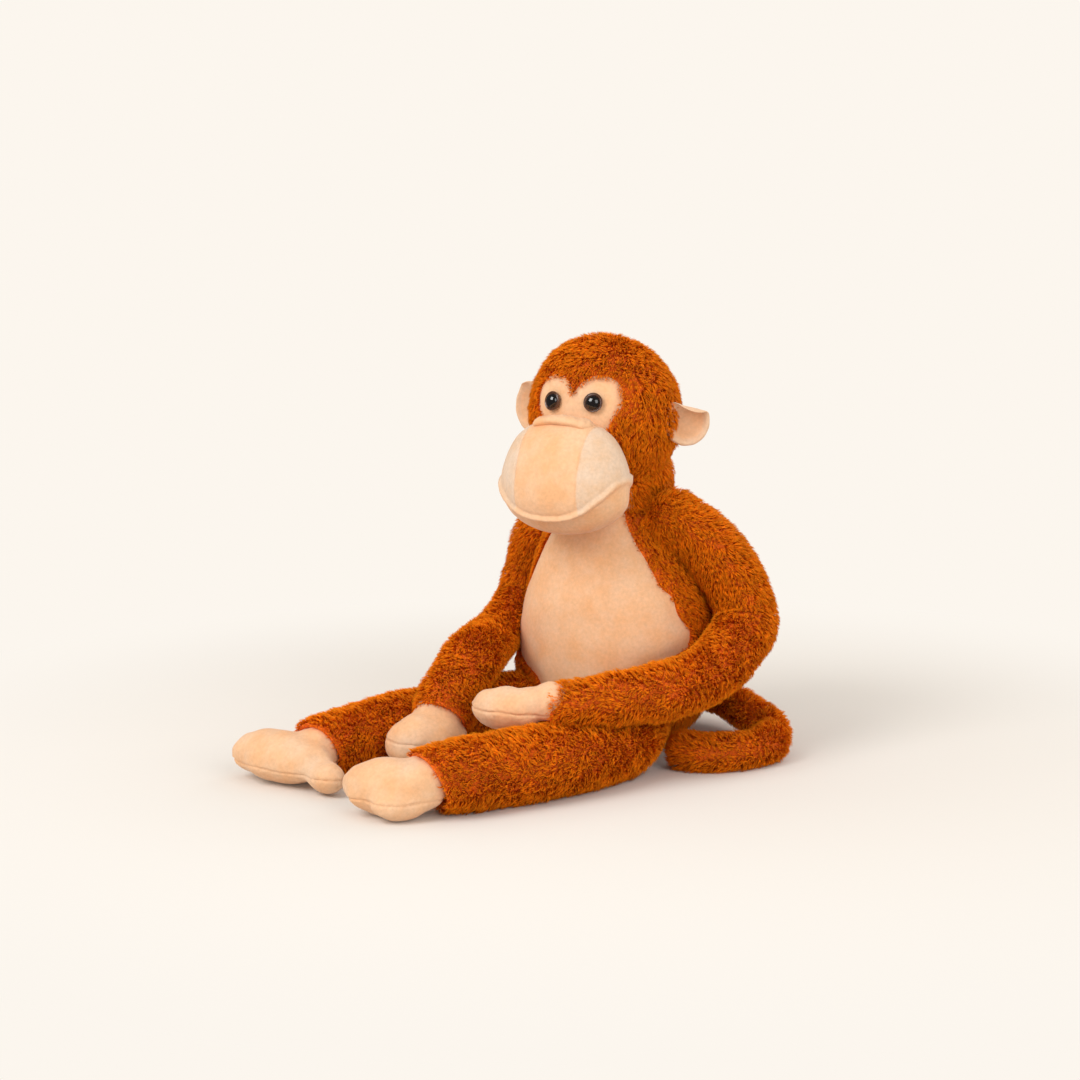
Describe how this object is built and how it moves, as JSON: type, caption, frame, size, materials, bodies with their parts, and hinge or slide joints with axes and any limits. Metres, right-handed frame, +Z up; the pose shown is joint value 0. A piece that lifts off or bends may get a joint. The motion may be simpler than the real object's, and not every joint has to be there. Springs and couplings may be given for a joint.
{
  "type": "stuffed toy monkey",
  "caption": "Seated long-limbed plush monkey with fur body, velour face and belly, jointed soft limbs, cupped ears and a curled tail.",
  "frame": {"origin": "centre of the flat seat on the floor plane, under the torso's upright axis", "axes": "+Z up, the monkey faces -Y, its left hand side is +X"},
  "size_m": [0.3071, 0.3686, 0.293],
  "materials": {
    "fur": "long rust-brown pile on a knitted backing",
    "velour": "short-nap peach velour",
    "filling": "white fibre filling",
    "pellets": "cloth bag of weighting granules",
    "black_plastic": "polished black",
    "brown_plastic": "polished dark brown",
    "white_plastic": "plain moulded"
  },
  "bodies": {
    "torso": {"torso_fur": "fur", "belly_panel": "velour", "seat_panel": "fur", "torso_filling": "filling", "pellet_bag": "pellets"},
    "neck_turner": {"neck_filling": "filling"},
    "neck_tilter": {"neck_fur": "fur"},
    "head": {"head_fur": "fur", "face_plate": "velour", "head_filling": "filling", "muzzle_centre": "velour", "muzzle_left": "velour", "muzzle_right": "velour", "jaw_panel": "velour", "muzzle_filling": "filling", "nose_pad": "velour", "eye_left": "black_plastic", "eye_ring_left": "brown_plastic", "eye_washer_left": "white_plastic", "eye_right": "black_plastic", "eye_ring_right": "brown_plastic", "eye_washer_right": "white_plastic"},
    "ear_left": {"ear_back_left": "velour", "ear_front_left": "velour"},
    "ear_right": {"ear_back_right": "velour", "ear_front_right": "velour"},
    "shoulder_left": {"shoulder_filling_left": "filling"},
    "upper_arm_left": {"upper_arm_fur_left": "fur", "upper_arm_filling_left": "filling"},
    "forearm_left": {"forearm_fur_left": "fur", "forearm_filling_left": "filling"},
    "hand_left": {"hand_left": "velour", "hand_filling_left": "filling"},
    "hip_left": {"hip_filling_left": "filling"},
    "thigh_left": {"thigh_fur_left": "fur", "thigh_filling_left": "filling"},
    "shin_left": {"shin_fur_left": "fur", "shin_filling_left": "filling"},
    "foot_left": {"foot_left": "velour", "foot_filling_left": "filling"},
    "shoulder_right": {"shoulder_filling_right": "filling"},
    "upper_arm_right": {"upper_arm_fur_right": "fur", "upper_arm_filling_right": "filling"},
    "forearm_right": {"forearm_fur_right": "fur", "forearm_filling_right": "filling"},
    "hand_right": {"hand_right": "velour", "hand_filling_right": "filling"},
    "hip_right": {"hip_filling_right": "filling"},
    "thigh_right": {"thigh_fur_right": "fur", "thigh_filling_right": "filling"},
    "shin_right": {"shin_fur_right": "fur", "shin_filling_right": "filling"},
    "foot_right": {"foot_right": "velour", "foot_filling_right": "filling"},
    "tail_root": {"tail_root_fur": "fur", "tail_root_filling": "filling"},
    "tail_middle": {"tail_middle_fur": "fur", "tail_middle_filling": "filling"},
    "tail_tip": {"tail_tip_fur": "fur", "tail_tip_filling": "filling"}
  },
  "joints": [
    {"name": "neck_turn", "type": "hinge", "parent": "torso", "child": "neck_turner", "pos_m": [0, -0.004, 0.189], "axis": [0, 0, 1], "range_deg": [-30, 30]},
    {"name": "head_tilt", "type": "hinge", "parent": "neck_turner", "child": "neck_tilter", "pos_m": [0, -0.004, 0.189], "axis": [0, -1, 0], "range_deg": [-10, 10]},
    {"name": "head_nod", "type": "hinge", "parent": "neck_tilter", "child": "head", "pos_m": [0, -0.004, 0.189], "axis": [-1, 0, 0], "range_deg": [-6, 16]},
    {"name": "ear_flap_left", "type": "hinge", "parent": "head", "child": "ear_left", "pos_m": [0.053, -0.018, 0.237], "axis": [0, 0, -1], "range_deg": [-8, 25]},
    {"name": "ear_flap_right", "type": "hinge", "parent": "head", "child": "ear_right", "pos_m": [-0.053, -0.018, 0.237], "axis": [0, 0, 1], "range_deg": [-8, 25]},
    {"name": "shoulder_swing_left", "type": "hinge", "parent": "torso", "child": "shoulder_left", "pos_m": [0.051, -0.008, 0.166], "axis": [-1, 0, 0], "range_deg": [0, 50]},
    {"name": "shoulder_lift_left", "type": "hinge", "parent": "shoulder_left", "child": "upper_arm_left", "pos_m": [0.051, -0.008, 0.166], "axis": [-0.88, -0.475, 0], "range_deg": [0, 25]},
    {"name": "elbow_bend_left", "type": "hinge", "parent": "upper_arm_left", "child": "forearm_left", "pos_m": [0.107, -0.018, 0.085], "axis": [-1, 0, 0], "range_deg": [0, 35]},
    {"name": "wrist_bend_left", "type": "hinge", "parent": "forearm_left", "child": "hand_left", "pos_m": [0.041, -0.162, 0.062], "axis": [-1, 0, 0], "range_deg": [0, 25]},
    {"name": "hip_swing_left", "type": "hinge", "parent": "torso", "child": "hip_left", "pos_m": [0.048, -0.05, 0.029], "axis": [1, 0, 0], "range_deg": [0, 55]},
    {"name": "hip_spread_left", "type": "hinge", "parent": "hip_left", "child": "thigh_left", "pos_m": [0.048, -0.05, 0.029], "axis": [0, 0, 1], "range_deg": [-4, 6]},
    {"name": "knee_bend_left", "type": "hinge", "parent": "thigh_left", "child": "shin_left", "pos_m": [0.057, -0.132, 0.024], "axis": [1, 0, 0], "range_deg": [0, 40]},
    {"name": "ankle_bend_left", "type": "hinge", "parent": "shin_left", "child": "foot_left", "pos_m": [0.003, -0.257, 0.022], "axis": [1, 0, 0], "range_deg": [-15, 20]},
    {"name": "shoulder_swing_right", "type": "hinge", "parent": "torso", "child": "shoulder_right", "pos_m": [-0.051, 0.002, 0.166], "axis": [-1, 0, 0], "range_deg": [0, 50]},
    {"name": "shoulder_lift_right", "type": "hinge", "parent": "shoulder_right", "child": "upper_arm_right", "pos_m": [-0.051, 0.002, 0.166], "axis": [-0.88, 0.475, 0], "range_deg": [0, 20]},
    {"name": "elbow_bend_right", "type": "hinge", "parent": "upper_arm_right", "child": "forearm_right", "pos_m": [-0.085, -0.027, 0.086], "axis": [-1, 0, 0], "range_deg": [0, 35]},
    {"name": "wrist_bend_right", "type": "hinge", "parent": "forearm_right", "child": "hand_right", "pos_m": [-0.053, -0.14, 0.047], "axis": [-1, 0, 0], "range_deg": [0, 25]},
    {"name": "hip_swing_right", "type": "hinge", "parent": "torso", "child": "hip_right", "pos_m": [-0.048, -0.05, 0.029], "axis": [1, 0, 0], "range_deg": [0, 55]},
    {"name": "hip_spread_right", "type": "hinge", "parent": "hip_right", "child": "thigh_right", "pos_m": [-0.048, -0.05, 0.029], "axis": [0, 0, -1], "range_deg": [0, 20]},
    {"name": "knee_bend_right", "type": "hinge", "parent": "thigh_right", "child": "shin_right", "pos_m": [-0.092, -0.14, 0.023], "axis": [1, 0, 0], "range_deg": [0, 40]},
    {"name": "ankle_bend_right", "type": "hinge", "parent": "shin_right", "child": "foot_right", "pos_m": [-0.108, -0.222, 0.021], "axis": [1, 0, 0], "range_deg": [-15, 20]},
    {"name": "tail_lift", "type": "hinge", "parent": "torso", "child": "tail_root", "pos_m": [0.014, 0.066, 0.024], "axis": [0, -1, 0], "range_deg": [-40, 10]},
    {"name": "tail_sway", "type": "hinge", "parent": "tail_root", "child": "tail_middle", "pos_m": [0.086, 0.044, 0.02], "axis": [0, 0, 1], "range_deg": [0, 30]},
    {"name": "tail_curl", "type": "hinge", "parent": "tail_middle", "child": "tail_tip", "pos_m": [0.129, -0.008, 0.013], "axis": [0, 0, 1], "range_deg": [0, 30]}
  ]
}
